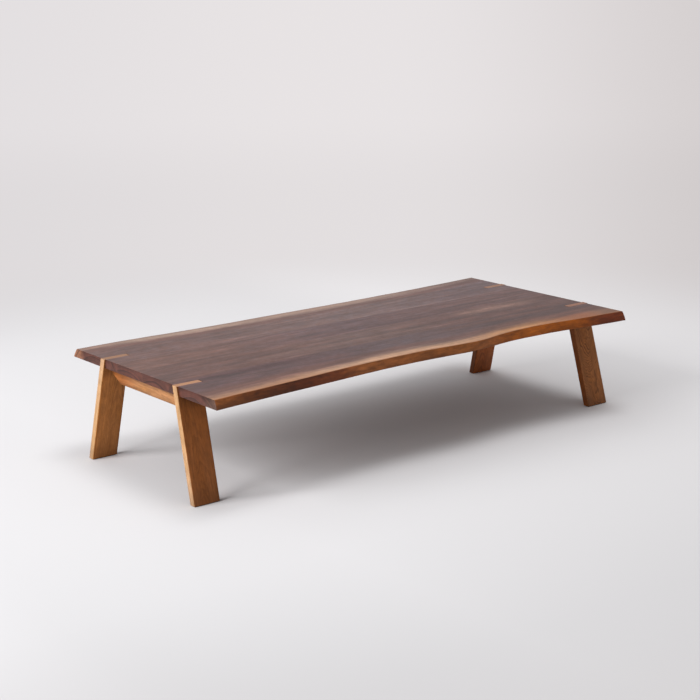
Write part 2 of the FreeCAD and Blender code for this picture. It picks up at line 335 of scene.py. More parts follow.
@effect(Late_Wood=0.0, Ring_Tone=0.5, Strength=1.0, **dict.fromkeys(DARK_KINDS, 0.5))
def dark_grain(s, given):
    """How light or dark the dark wood is for its grain, round one, and its warm and cool tint."""
    late = s.product(given["Late Wood"], s.span(given["Ring Tone"], 0.0, 1.0, 0.1, 1.0))
    shade = s.span(late, 0.0, 1.0, 1.03, s.minus(1.0, s.product(given["Strength"], 0.25)))
    for label, light, dark in DARK_GRAIN:
        off = s.span(given[label], 0.28, 0.72, light - 1.0, dark - 1.0)
        shade = s.product(shade, s.total(1.0, s.product(off, given["Strength"])))
    warmth = s.total(s.product(given["Drift"], 0.3), s.total(given["Flecks"], given["Mottle"]))
    return {"Shade": shade, "Tint": s.mix(s.step(warmth, 0.93, 1.37), MAUVE_TINT, WARM_TINT)}


@effect(Place=ORIGIN, Late_Wood=0.0, Ring_Tone=0.5, Clouds=0.5, Mottle=0.5)
def dark_end_grain(s, given):
    """How light or dark the dark wood is where it is cut across, round one, with painted shade
    close under the surface.
    """
    _, _, z = s.parts(given["Place"])
    late = s.product(given["Late Wood"], given["Ring Tone"])
    shade = s.product(
        s.span(late, 0.0, 1.0, 1.30, 0.45),
        s.span(given["Ring Tone"], 0.0, 1.0, 1.25, 0.75),
        s.span(given["Clouds"], 0.3, 0.7, 1.2, 0.8),
        s.span(given["Mottle"], 0.3, 0.7, 1.2, 0.8),
        # Painted shade: the end face goes darker close under the top surface.
        s.step(z, SURFACE - 0.012, SURFACE, 1.0, 0.78),
    )
    return {"Shade": shade}


@effect(Place=ORIGIN, Centre=0.0, Half_Width=0.01, Start=-0.5, End=0.5)
def long_streak(s, given):
    """One soft streak along the table, between two ends, round a line of given Y."""
    x, y, _ = s.parts(given["Place"])
    sway = s.swing(s.noise(given["Place"], (2.5, 6.0, 0.0), 2.0, 0.5, 3.1), 0.03)
    line = s.total(given["Centre"], sway)
    off = s.math("DIVIDE", s.math("ABSOLUTE", s.minus(y, line)), given["Half Width"])
    starts = s.step(s.minus(x, given["Start"]), 0.0, 0.12)
    ends = s.step(s.minus(given["End"], x), 0.0, 0.2)
    return {"Streak": s.product(s.step(off, 0.0, 1.0, 1.0, 0.0), s.product(starts, ends))}


@effect(Place=ORIGIN, Depth=0.0, Centre=0.0, Reach=0.3, Wider=0.0)
def sapwood_swell(s, given):
    """The depth from the natural edge, less round one place, so that the sapwood is wider there."""
    x, _, _ = s.parts(given["Place"])
    off = s.math("DIVIDE", s.math("ABSOLUTE", s.minus(x, given["Centre"])), given["Reach"])
    return {"Depth": s.minus(given["Depth"], s.step(off, 0.0, 1.0, given["Wider"], 0.0))}


@effect(
    From_Edge=0.0, Depth=0.0, Streaks=0.5, Flecks=0.5, Clouds=0.5, Fall_Start=0.01, Fall_End=0.07,
    Border_Depth=0.08, Border_Reach=0.04, Border_Strength=0.6, Outer_Reach=0.012,
)
def sapwood_parts(s, given):
    """Ragged masks of the pale sapwood, its border with the dark wood, and its outermost part."""
    ragged = s.total(s.swing(given["Streaks"], 0.026), s.swing(given["Flecks"], 0.014))
    depth = s.total(given["Depth"], s.total(ragged, s.swing(given["Clouds"], 0.02)))
    off = s.math("ABSOLUTE", s.minus(depth, given["Border Depth"]))
    return {
        "Pale": s.step(depth, given["Fall Start"], given["Fall End"], 1.0, 0.0),
        "Border": s.step(off, 0.0, given["Border Reach"], given["Border Strength"], 0.0),
        "Outer": s.step(s.total(given["From Edge"], ragged), 0.001, given["Outer Reach"], 0.5, 0.0),
    }


@effect(Place=ORIGIN, Streaks=0.5, Flecks=0.5, Seed=0.0)
def bark_mottle(s, given):
    """How light or dark the bark side is, round one, in spots and patches and by height."""
    place, seed = given["Place"], given["Seed"]
    _, _, z = s.parts(place)
    spots = s.noise(place, (30.0, 60.0, 95.0), 3.0, 0.6, seed)
    patches = s.noise(place, (8.0, 20.0, 42.0), 2.0, 0.5, s.total(seed, 3.0))
    shade = s.product(
        s.step(spots, 0.30, 0.70, 1.26, 0.76),
        s.step(patches, 0.32, 0.68, 1.28, 0.76),
        s.span(given["Streaks"], 0.3, 0.7, 1.10, 0.90),
        s.span(given["Flecks"], 0.3, 0.7, 1.12, 0.88),
        s.step(z, UNDERSIDE, UNDERSIDE + 0.018, 0.84, 1.04),
    )
    return {"Shade": shade}


# Pale boards of the legs, rails, battens and tongues

OAK_PORE = colour(0.070, 0.022, 0.006)
OAK_WORN = colour(0.58, 0.34, 0.17)
OAK_WORN_STRENGTH = 0.12
OAK_COOL_TINT = colour(0.95, 0.98, 1.10)
OAK_WARM_TINT = colour(1.05, 1.02, 0.90)
SIDE_RINGS = 0.18  # how strong the rings are on a narrow side
FACE_RINGS = 0.46  # and on a wide face of plain grain
# Painted shade: a leg's wide faces go darker between these heights close under the top, and towards
# the middle of the table, where less light falls.
SHADE_CLOSE_UNDER_TOP = (0.285, 0.337)  # heights between which a leg goes over into the shade of the top
SHADED_INNER_PART = (0.87, 0.815)  # places along the table between which it goes over into its inner part
PALE_FACE = {"Smooth": 0.44, "Rough": 0.56, "Pore_Roughness": 0.15, "Fibre_Height": 0.3}

# Each kind of mark, and what it makes of the pale wood's shade where it is lightest and darkest
PALE_GRAIN = (
    ("Clouds", 1.08, 0.92),
    ("Figure", 1.14, 0.87),
    ("Mottle", 1.13, 0.88),
    ("Streaks", 1.13, 0.87),
    ("Flecks", 1.13, 0.87),
    ("Fibres", 1.06, 0.94),
)
PALE_KINDS = [label for label, _, _ in PALE_GRAIN] + ["Drift"]


@effect(
    Late_Wood=0.0, Ring_Tone=0.5, Pores=0.0, Broad=1.0, Face_Rings=FACE_RINGS,
    **dict.fromkeys(PALE_KINDS, 0.5),
)
def pale_grain(s, given):
    """The grain's shade of the pale wood and its ends, the tint, and how strong the pores are."""
    late = s.product(given["Late Wood"], s.span(given["Ring Tone"], 0.0, 1.0, 0.35, 1.0))
    strength = s.span(given["Broad"], 0.0, 1.0, SIDE_RINGS, given["Face Rings"])
    shade = s.minus(1.12, s.product(late, strength))
    for label, light, dark in PALE_GRAIN:
        shade = s.product(shade, s.span(given[label], 0.3, 0.7, light, dark))
    warmth = s.step(s.total(given["Drift"], given["Figure"]), 0.8, 1.2)
    return {
        "Shade": shade,
        "Tint": s.mix(warmth, OAK_COOL_TINT, OAK_WARM_TINT),
        "End Shade": s.span(late, 0.0, 1.0, 1.1, 0.7),
        "Pore Strength": s.product(given["Pores"], s.span(late, 0.0, 0.6, 0.45, 0.10)),
    }


@effect(Place=ORIGIN, Low=0.0, High=0.1, Start=1.0, End=1.0)
def painted_shade_by_height(s, given):
    """Painted shade that changes smoothly between two heights."""
    _, _, z = s.parts(given["Place"])
    return {"Shade": s.step(z, given["Low"], given["High"], given["Start"], given["End"])}


@effect(Place=ORIGIN, Broad=1.0, Under=1.0, Inner_Part=1.0)
def painted_shade_under_top(s, given):
    """Painted shade of the wide faces, close under the top and towards the middle of the table."""
    x, _, z = s.parts(given["Place"])
    close = s.product(given["Broad"], s.step(z, *SHADE_CLOSE_UNDER_TOP))
    inwards = s.product(given["Broad"], s.step(s.math("ABSOLUTE", x), *SHADED_INNER_PART))
    under = s.span(close, 0.0, 1.0, 1.0, given["Under"])
    inner_part = s.span(inwards, 0.0, 1.0, 1.0, given["Inner Part"])
    return {"Shade": s.product(under, inner_part)}


@effect(Place=ORIGIN)
def turned_metal(s, given):
    """Fine marks from turning, and dull spots."""
    spots = s.noise(given["Place"], (260.0, 260.0, 260.0), 3.0, 0.6)
    marks = s.noise(given["Place"], (500.0, 500.0, 2600.0), 2.0, 0.6)
    return {"Marks": marks, "Spots": s.step(spots, 0.42, 0.72, 0.0, 0.6)}


# Materials

SCRATCH_STRENGTH = 0.6
FELT_GROUND = colour(0.030, 0.022, 0.016)
FELT_HAIR = colour(0.085, 0.062, 0.045)


def plain_material(name):
    """A new material with its sketch, its shader and the place on the piece."""
    material = bpy.data.materials.new(name)
    material.use_nodes = True
    s = Sketch(material.node_tree)
    shader = next(n for n in material.node_tree.nodes if n.type == "BSDF_PRINCIPLED")
    return material, s, shader, s.add("TexCoord").outputs["Object"]


def add_relief(s, shader, height, strength, distance):
    """Fine relief that isn't in the shape."""
    bump = s.add("Bump", {"Height": height, "Strength": strength, "Distance": distance})
    s.feed(shader.inputs["Normal"], bump.outputs[0])


def finish_wood(s, shader, wood, fibres, pores, face, gloss, relief):
    """Puts the wood's colour, roughness, gloss and relief on its shader."""
    oiled = place_effect(s, oiled_face, Fibres=fibres["Fibres"], Pores=pores, **face)
    s.feed(shader.inputs["Base Color"], wood)
    s.feed(shader.inputs["Roughness"], oiled["Roughness"])
    shader.inputs["Specular IOR Level"].default_value = gloss
    add_relief(s, shader, oiled["Height"], relief, RELIEF_DEPTH)


def along_board(s, place, tones):
    """A tone that goes over from one place along the board to the next."""
    x, _, _ = s.parts(place)
    tone = tones[0][1]
    for (start, _), (end, following) in zip(tones, tones[1:]):
        tone = s.mix(s.step(x, start, end), tone, following)
    return tone


def lay_sapwood(s, wood, edge, place, fibres, grain):
    """Lays pale sapwood over the dark wood. Gives the wood and where it is pale."""
    from_edge = s.add("Attribute", attribute_name="from_edge").outputs["Fac"]
    depth = from_edge
    for centre, reach, wider in edge["swells"]:
        swell = place_effect(
            s, sapwood_swell, Place=place, Depth=depth, Centre=centre, Reach=reach, Wider=wider
        )
        depth = swell["Depth"]
    fall_start, fall_end = edge["fall"]
    border_tone, border_depth, border_reach, border_strength = edge["border"]
    sap = place_effect(
        s, sapwood_parts, From_Edge=from_edge, Depth=depth, Fall_Start=fall_start,
        Fall_End=fall_end, Border_Depth=border_depth, Border_Reach=border_reach,
        Border_Strength=border_strength, Outer_Reach=edge["outer_reach"],
        **picked(fibres, "Streaks", "Flecks", "Clouds"),
    )
    wood = s.mix(sap["Border"], wood, s.shaded(border_tone, grain))
    tone = s.mix(sap["Outer"], along_board(s, place, edge["tones"]), edge["outer"])
    return s.mix(sap["Pale"], wood, s.shaded(tone, grain)), sap["Pale"]


def lay_bark_side(s, wood, edge, place, fibres, seed):
    """Lays the redder, mottled wood of the bark side over the natural edge's own face."""
    marks = picked(fibres, "Streaks", "Flecks")
    mottle = place_effect(s, bark_mottle, Place=place, Seed=seed, **marks)
    outwards = (0.0, edge["side"], 0.0)
    side = place_effect(s, turned_towards, Direction=outwards, Low=0.45, High=0.8)["Side"]
    return s.mix(side, wood, s.shaded(along_board(s, place, edge["bark"]), mottle["Shade"]))


def walnut(name, heart, seed, tones, streaks, edge=None):
    """A dark board. Tones go by place, streaks are lines, and edge says how its sapwood lies."""
    material, s, shader, place = plain_material(name)
    rings = place_effect(
        s, growth_rings, Place=place, Heart=heart, Ring_Width=0.0062, Lift=0.012, Waver=0.035,
        Seed=seed,
    )
    fibres = place_effect(s, long_fibres, Place=place, Seed=seed)
    pores = place_effect(
        s, open_pores, Place=place, Length=0.007, Spacing=0.0012, Size=0.26, Seed=seed
    )["Pores"]
    end_grain = place_effect(s, cut_across, Along=ALONG_TABLE)["End Grain"]
    wear = place_effect(s, worn_arris, Place=place, Width=0.0022)["Wear"]
    of_rings = picked(rings, "Late Wood", "Ring Tone")
    of_fibres = picked(fibres, *DARK_KINDS)

    grain = place_effect(s, dark_grain, Strength=1.0, **of_rings, **of_fibres)
    wood = s.vector("MULTIPLY", along_board(s, place, tones), grain["Tint"])
    for shade, strength, centre, half_width, start, end in streaks:
        mask = place_effect(
            s, long_streak, Place=place, Centre=centre, Half_Width=half_width, Start=start, End=end
        )
        wood = s.mix(s.product(mask["Streak"], strength), wood, shade)
    wood = s.shaded(wood, grain["Shade"])

    end_shade = place_effect(
        s, dark_end_grain, Place=place, **of_rings, **picked(fibres, "Clouds", "Mottle")
    )["Shade"]
    end_face = s.shaded(END_FACE, end_shade)
    if edge:
        sap_grain = place_effect(s, dark_grain, Strength=SAPWOOD_GRAIN, **of_rings, **of_fibres)
        wood, pale = lay_sapwood(s, wood, edge, place, fibres, sap_grain["Shade"])
        end_face = s.mix(pale, end_face, s.shaded(edge["end"], end_shade))
        wood = lay_bark_side(s, wood, edge, place, fibres, seed)
    wood = s.mix(end_grain, wood, end_face)
    wood = s.mix(s.product(pores, PORE_STRENGTH), wood, PORE)
    wood = s.mix(s.product(wear, HANDLED_STRENGTH), wood, HANDLED)
    finish_wood(s, shader, wood, fibres, pores, DARK_FACE, gloss=0.25, relief=0.25)
    return material


def leg_lie(side_x, side_y):
    """How a leg lies: the turn that lays it along X, its middle then, and its faces' directions."""
    up = Vector((-side_x * LEG_LEAN, -side_y * LEG_SPLAY, LEG_RISE)).normalized()
    slant = math.atan2(up.y, up.z)
    middle = (LEG_MIDDLE_Y + side_y * LEG_FOOT_Y) * math.cos(slant)
    return {
        "turn": (slant, math.radians(90), 0.0),
        "middle": Vector((LEG_GRAIN_Z, middle, -side_x * LEG_GRAIN_X)),
        "along": tuple(up),
        "broad": tuple(Vector((0.0, up.z, -up.y)).normalized()),
        "inward": (-side_x, 0.0, 0.0),
    }


def cross_lie(x, z, broad, inward=UP):
    """How a board lies that runs from front to rear."""
    return {
        "turn": (0.0, 0.0, math.radians(-90)),
        "middle": Vector((LEG_MIDDLE_Y, -x, z)),
        "along": ACROSS_TABLE,
        "broad": broad,
        "inward": inward,
    }


def board_tones(side, face, end, inner=None):
    """The tones of a pale board. A given inner tone is painted shade on the side turned inwards;
    without one, that side is like the others.
    """
    return {"side": side, "face": face, "end": end, "inner": inner or side}


def oak(
    name, lie, seed, tones, heart,
    lift=0.0, grain=1.0, waver=0.016, painted_shade_levels=(), painted_top_shade=None, rear=None,
):
    """A pale board. Levels and the shade under the top paint shade on it by place, and rear is a
    darker, redder tone of painted shade towards its end.
    """
    material, s, shader, place = plain_material(name)
    turned = {"Vector": place, "Rotation": lie["turn"], "Location": -lie["middle"]}
    laid = s.add("Mapping", turned).outputs[0]
    rings = place_effect(
        s, growth_rings, Place=laid, Heart=heart, Ring_Width=0.0030, Lift=lift,
        Sway=(8.0, 20.0, 20.0), Waver=waver, Seed=seed,
    )
    fibres = place_effect(s, long_fibres, Place=laid, Seed=seed)
    pores = place_effect(
        s, open_pores, Place=laid, Length=0.009, Spacing=0.0013, Size=0.34, Seed=seed
    )["Pores"]
    end_grain = place_effect(s, cut_across, Along=lie["along"])["End Grain"]
    broad = place_effect(s, cut_across, Along=lie["broad"])["Broad"]
    inner = place_effect(s, turned_towards, Direction=lie["inward"])["Side"]
    wear = place_effect(s, worn_arris, Place=laid, Width=0.002)["Wear"]

    tone = s.mix(broad, tones["side"], tones["face"])
    # Painted shade on the side turned inwards.
    tone = s.mix(inner, tone, tones["inner"])
    # Painted shade: a darker, redder tone towards one end of the board, beside the leg it meets.
    if rear:
        painted_shade_tone, start, end = rear
        tone = along_board(s, laid, ((start, tone), (end, painted_shade_tone)))
    marks = place_effect(
        s, pale_grain, Pores=pores, Broad=broad, Face_Rings=FACE_RINGS * grain,
        **picked(rings, "Late Wood", "Ring Tone"), **picked(fibres, *PALE_KINDS),
    )
    shade = marks["Shade"]
    # Painted shade by height.
    for low, high, start, end in painted_shade_levels:
        level = place_effect(
            s, painted_shade_by_height, Place=place, Low=low, High=high, Start=start, End=end
        )
        shade = s.product(shade, level["Shade"])
    # Painted shade close under the top and on the inner part of the wide faces.
    if painted_top_shade:
        top = place_effect(s, painted_shade_under_top, Place=place, Broad=broad, **painted_top_shade)
        shade = s.product(shade, top["Shade"])
    wood = s.shaded(s.vector("MULTIPLY", tone, marks["Tint"]), shade)
    wood = s.mix(marks["Pore Strength"], wood, OAK_PORE)
    end_face = s.shaded(tones["end"], marks["End Shade"])
    end_face = s.mix(s.product(pores, PORE_STRENGTH), end_face, OAK_PORE)
    wood = s.mix(end_grain, wood, end_face)
    wood = s.mix(s.product(wear, OAK_WORN_STRENGTH), wood, OAK_WORN)
    finish_wood(s, shader, wood, fibres, pores, PALE_FACE, gloss=0.2, relief=0.3)
    return material


def metal(name, tint, dull, roughness, scratch):
    """A small metal part with faint turning marks, dull spots and bright arrises."""
    material, s, shader, place = plain_material(name)
    turned = place_effect(s, turned_metal, Place=place)
    wear = place_effect(s, worn_arris, Place=place, Width=0.0006)["Wear"]
    base = s.mix(turned["Spots"], tint, dull)
    s.feed(shader.inputs["Base Color"], s.mix(s.product(wear, SCRATCH_STRENGTH), base, scratch))
    rough = s.span(turned["Marks"], 0.25, 0.75, roughness, roughness + 0.18)
    s.feed(shader.inputs["Roughness"], rough)
    shader.inputs["Metallic"].default_value = 1.0
    add_relief(s, shader, turned["Marks"], strength=0.15, distance=0.0001)
    return material


def felt(name):
    """Brown felt with short crossed hairs."""
    material, s, shader, place = plain_material(name)
    one_way = s.noise(place, (2600.0, 420.0, 900.0), 3.0, 0.6)
    other_way = s.noise(place, (420.0, 2600.0, 900.0), 3.0, 0.6, 4.0)
    hairs = s.math("MAXIMUM", one_way, other_way)
    s.feed(shader.inputs["Base Color"], s.mix(s.step(hairs, 0.4, 0.75), FELT_GROUND, FELT_HAIR))
    shader.inputs["Roughness"].default_value = 0.95
    shader.inputs["Specular IOR Level"].default_value = 0.15
    add_relief(s, shader, hairs, strength=0.6, distance=0.0004)
    return material


def dress(name, material):
    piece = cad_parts[name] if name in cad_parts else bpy.data.objects[name]
    piece.data.materials.clear()
    piece.data.materials.append(material)


# The two boards with natural edges, built finer than the model that carries them

STATION_PITCH = 0.006
OUTSIDE_Y = 0.7  # from where the edge of the model is looked for
BEYOND_END_X = 0.99
SLOT_ROOM = 0.0025  # behind the leg
SLOT_GAP = 0.00025  # on each of its wide faces
SLOT_CORNER = 0.003
SLOT_OVERSHOOT = 0.02  # how far the cutting block stands out above and below the top
SMOOTH_ANGLE = math.radians(35)

# Shares of the way up the natural edge, closer at its arrises
EDGE_ARRIS = [0.002, 0.01, 0.03]
EDGE_BETWEEN = [0.06 + 0.88 * k / 11 for k in range(12)]
EDGE_LEVELS = EDGE_ARRIS + EDGE_BETWEEN + [1 - share for share in reversed(EDGE_ARRIS)]

# Shares of the way in from the edge to the glue joint
INWARD_ROWS = [0.004, 0.012, 0.028, 0.055, 0.09, 0.13, 0.18, 0.24, 0.32, 0.45, 0.65, 1.0]


def end_drop(x):
    """How far the rounded arris of an end brings the surface down at this place along the table."""
    inside = HALF_LENGTH - abs(x)
    if inside >= ARRIS:
        return 0.0
    return ARRIS - math.sqrt(max(ARRIS**2 - (ARRIS - inside) ** 2, 0.0))


def stations():
    """Places along the table, closer at the rounded ends."""
    inner = HALF_LENGTH - ARRIS
    count = round(2 * inner / STATION_PITCH)
    middle = [-inner + 2 * inner * k / count for k in range(1, count)]
    ends = [HALF_LENGTH - ARRIS * share for share in (0.02, 0.12, 0.35, 0.65, 1.0)]
    return [-x for x in ends] + middle + list(reversed(ends))


def relief(x, z, side):
    """How far the bark side lies back from the sawn shape: lumps, flutes and a few dents."""
    lumps = noise.noise(Vector((x * 16.0, z * 45.0, side * 5.0)))
    flutes = noise.noise(Vector((x * 22.0, z * 260.0, side * 9.0)))
    dents = noise.noise(Vector((x * 60.0, z * 110.0, side * 13.0)))
    depth = 0.0009 + 0.0009 * lumps + 0.0003 * flutes + 0.0003 * dents
    return max(depth, 0.00005)


def edge_ring(x, tree, joint_y, side):
    """The closed outline of a board's section at one place along the table."""
    drop = end_drop(x)
    low, high = UNDERSIDE + drop, SURFACE - drop
    face = []
    for share in EDGE_LEVELS:
        z = low + (high - low) * share
        hit, _, _, _ = tree.ray_cast(Vector((x, side * OUTSIDE_Y, z)), Vector((0.0, -side, 0.0)))
        face.append(Vector((x, hit.y - side * relief(x, z, side), z)))
    top_edge, low_edge = face[-1].y, face[0].y
    surface = [Vector((x, top_edge + (joint_y - top_edge) * share, high)) for share in INWARD_ROWS]
    under = [Vector((x, low_edge + (joint_y - low_edge) * share, low)) for share in INWARD_ROWS]
    return face + surface + under[::-1]


def solid_object(name, mesh):
    """Turns the mesh's faces outwards and puts it in the scene."""
    work = bmesh.new()
    work.from_mesh(mesh)
    bmesh.ops.recalc_face_normals(work, faces=work.faces)
    work.to_mesh(mesh)
    work.free()
    made = bpy.data.objects.new(name, mesh)
    bpy.context.scene.collection.objects.link(made)
    return made


def skin(name, rings):
    """A closed solid through outlines that all have as many points."""
    size = len(rings[0])
    faces = []
    for start in range(0, (len(rings) - 1) * size, size):
        for j in range(size):
            following = (j + 1) % size
            faces.append((start + j, start + following, start + size + following, start + size + j))
    faces.append(tuple(reversed(range(size))))
    faces.append(tuple(range((len(rings) - 1) * size, len(rings) * size)))
    mesh = bpy.data.meshes.new(name)
    mesh.from_pydata([point for ring in rings for point in ring], [], faces)
    return solid_object(name, mesh)


def slot_cutter(side_x, side_y):
    """The slanted block that opens a leg's slot in the end of the top."""
    inner = LEG_FOOT_X - LEG_WIDTH - SLOT_ROOM
    half = LEG_THICKNESS / 2 / math.cos(math.atan(LEG_SPLAY / LEG_RISE)) + SLOT_GAP
    corners = [(BEYOND_END_X, half), (BEYOND_END_X, -half)]
    for centre_y, start in ((-half + SLOT_CORNER, 270), (half - SLOT_CORNER, 180)):
        for k in range(5):
            a = math.radians(start - 22.5 * k)
            round_x, round_y = SLOT_CORNER * math.cos(a), SLOT_CORNER * math.sin(a)
            corners.append((inner + SLOT_CORNER + round_x, centre_y + round_y))
    rings = []
    for z in (UNDERSIDE - SLOT_OVERSHOOT, SURFACE + SLOT_OVERSHOOT):
        share = z / LEG_RISE
        middle = LEG_MIDDLE_Y + side_y * (LEG_FOOT_Y - LEG_SPLAY * share)
        lean = -side_x * LEG_LEAN * share
        rings.append([(side_x * x + lean, middle + y, z) for x, y in corners])
    return skin("slot", rings)


def mark_depth(mesh, places, edge, side):
    """Stores how far each point lies in from the natural edge, for the sapwood."""
    depth = mesh.attributes.new("from_edge", "FLOAT", "POINT")
    at = 0
    for vertex in sorted(mesh.vertices, key=lambda v: v.co.x):
        x = vertex.co.x
        while at < len(places) - 2 and places[at + 1] < x:
            at += 1
        share = min(max((x - places[at]) / (places[at + 1] - places[at]), 0.0), 1.0)
        line = edge[at] + (edge[at + 1] - edge[at]) * share
        depth.data[vertex.index].value = side * (line - vertex.co.y)


def natural_edge_board(name, node, joint_y, side):
    """A board with a lumpy bark side and two leg slots, in place of a plain one."""
    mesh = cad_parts[node].data
    tree = BVHTree.FromPolygons([v.co for v in mesh.vertices], [p.vertices for p in mesh.polygons])
    places = stations()
    rings = [edge_ring(x, tree, joint_y, side) for x in places]
    board = skin(name, rings)
    cutters = [slot_cutter(side_x, side) for side_x in SIDES.values()]
    for cutter in cutters:
        cut = board.modifiers.new("slot", "BOOLEAN")
        cut.object = cutter
        cut.operation = "DIFFERENCE"
        cut.solver = "EXACT"
    graph = bpy.context.evaluated_depsgraph_get()
    shaped = bpy.data.meshes.new_from_object(board.evaluated_get(graph))
    board.modifiers.clear()
    board.data = shaped
    for cutter in cutters:
        bpy.data.objects.remove(cutter)
    mark_depth(shaped, places, [ring[len(EDGE_LEVELS) - 1].y for ring in rings], side)
    for polygon in shaped.polygons:
        polygon.use_smooth = True
    shaped.set_sharp_from_angle(angle=SMOOTH_ANGLE)
    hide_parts(node)
    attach(board, "root")
    return board


front_edge_board = natural_edge_board("front_edge_board", "top_front_board", FRONT_JOINT_Y, -1)
rear_edge_board = natural_edge_board("rear_edge_board", "top_rear_board", REAR_JOINT_Y, 1)


# The natural edges. The sapwood ends between the two depths of fall, and border gives the tone,
# depth, reach and strength of its border. Each swell has a place along the table, a reach and how
# much wider the sapwood is there. Tones and bark go by place along the table.

FRONT_EDGE = {
    "side": -1.0,
    "outer": colour(0.275, 0.090, 0.016),
    "outer_reach": 0.012,
    "end": colour(0.085, 0.042, 0.028),
    "fall": (0.008, 0.076),
    "border": (FRONT_WARM, 0.080, 0.042, 0.6),
    "swells": (
        (-0.75, 0.30, -0.007),
        (-0.34, 0.22, -0.010),
        (0.12, 0.30, 0.004),
        (0.62, 0.25, 0.012),
        (0.88, 0.25, 0.030),
    ),
    "tones": (
        (-0.85, colour(0.345, 0.172, 0.091)),
        (-0.60, colour(0.345, 0.168, 0.086)),
        (-0.35, colour(0.44, 0.252, 0.153)),
        (0.05, colour(0.455, 0.254, 0.150)),
        (0.45, colour(0.40, 0.180, 0.068)),
        (0.74, colour(0.257, 0.087, 0.031)),
        (0.86, colour(0.165, 0.075, 0.040)),
    ),
    "bark": (
        (-0.88, colour(0.20, 0.062, 0.014)),
        (-0.70, colour(0.112, 0.028, 0.005)),
        (-0.54, colour(0.070, 0.014, 0.002)),
        (-0.42, colour(0.135, 0.031, 0.007)),
        (-0.28, colour(0.24, 0.077, 0.020)),
        (0.15, colour(0.20, 0.063, 0.014)),
        (0.40, colour(0.27, 0.069, 0.004)),
        (0.66, colour(0.25, 0.061, 0.003)),
        (0.82, colour(0.112, 0.019, 0.002)),
    ),
}
REAR_EDGE = {
    "side": 1.0,
    "outer": colour(0.130, 0.080, 0.058),
    "outer_reach": 0.020,
    "end": colour(0.180, 0.074, 0.038),
    "fall": (0.028, 0.068),
    "border": (REAR_RED, 0.070, 0.034, 0.7),
    "swells": ((-0.95, 0.50, -0.014), (-0.10, 0.45, 0.005), (0.9, 0.45, -0.016)),
    "tones": (
        (-0.86, colour(0.245, 0.142, 0.106)),
        (-0.65, colour(0.325, 0.214, 0.162)),
        (0.10, colour(0.33, 0.208, 0.160)),
        (0.35, colour(0.29, 0.188, 0.150)),
        (0.60, colour(0.225, 0.137, 0.112)),
        (0.80, colour(0.20, 0.120, 0.098)),
    ),
    "bark": (
        (-0.80, colour(0.15, 0.050, 0.018)),
        (0.00, colour(0.20, 0.070, 0.022)),
        (0.70, colour(0.14, 0.040, 0.012)),
    ),
}

# The dark boards. Each streak has a tone, strength, Y, half width and two ends.
WALNUT_BOARDS = {
    "front_edge_board": dict(
        name="front_walnut",
        heart=(0.0, -0.30, 0.20),
        seed=1.7,
        tones=(
            (-0.4, colour(0.073, 0.033, 0.031)),
            (0.0, colour(0.078, 0.046, 0.047)),
            (0.5, colour(0.068, 0.032, 0.028)),
        ),
        streaks=(
            (DARKEST_LINE, 0.84, -0.203, 0.036, -0.88, -0.30),
            (FRONT_WARM, 0.35, -0.200, 0.026, 0.15, 0.85),
        ),
        edge=FRONT_EDGE,
    ),
    "top_front_middle_board": dict(
        name="front_middle_walnut",
        heart=(0.0, -0.08, 0.22),
        seed=4.1,
        tones=(
            (-0.6, colour(0.081, 0.036, 0.028)),
            (0.0, colour(0.104, 0.056, 0.047)),
            (0.4, colour(0.086, 0.040, 0.033)),
        ),
        streaks=(
            (WARM_PATCH, 0.62, -0.050, 0.062, 0.36, 0.86),
            (WARM_PATCH, 0.25, -0.105, 0.022, -0.6, 0.35),
        ),
    ),
    "top_rear_middle_board": dict(
        name="rear_middle_walnut",
        heart=(0.0, 0.10, 0.15),
        seed=8.6,
        tones=(
            (-0.7, colour(0.102, 0.047, 0.035)),
            (0.0, colour(0.093, 0.051, 0.051)),
            (0.6, colour(0.104, 0.052, 0.046)),
        ),
        streaks=(
            (DARK_LINE, 0.4, 0.014, 0.018, -0.88, -0.45),
            (DARK_LINE, 0.15, 0.015, 0.03, -0.5, 0.9),
        ),
    ),
    "rear_edge_board": dict(
        name="rear_walnut",
        heart=(0.0, 0.30, 0.25),
        seed=12.3,
        tones=(
            (-0.75, colour(0.099, 0.050, 0.042)),
            (0.30, colour(0.136, 0.083, 0.076)),
            (0.70, colour(0.110, 0.066, 0.065)),
        ),
        streaks=(
            (DARK_LINE, 0.3, 0.165, 0.012, -0.75, -0.2),
            (DARK_LINE, 0.2, 0.205, 0.040, 0.10, 0.88),
        ),
        edge=REAR_EDGE,
    ),
}
for board, wood in WALNUT_BOARDS.items():
    dress(board, walnut(**wood))


# Legs, rails, battens and tongues

PALE_SIDE = colour(0.408, 0.237, 0.122)
# Painted shade: the legs' narrow sides that face the middle of the table, under the top, are far
# darker than their outer sides, the rear right leg's darkest.
SHADED_INNER_SIDE = colour(0.222, 0.061, 0.010)
DEEPER_SHADED_INNER_SIDE = colour(0.13, 0.034, 0.006)
# Painted shade near the floor: the legs go darker towards their feet.
LEG_FOOT_PAINTED_SHADE = ((0.0, 0.10, 0.69, 1.0),)
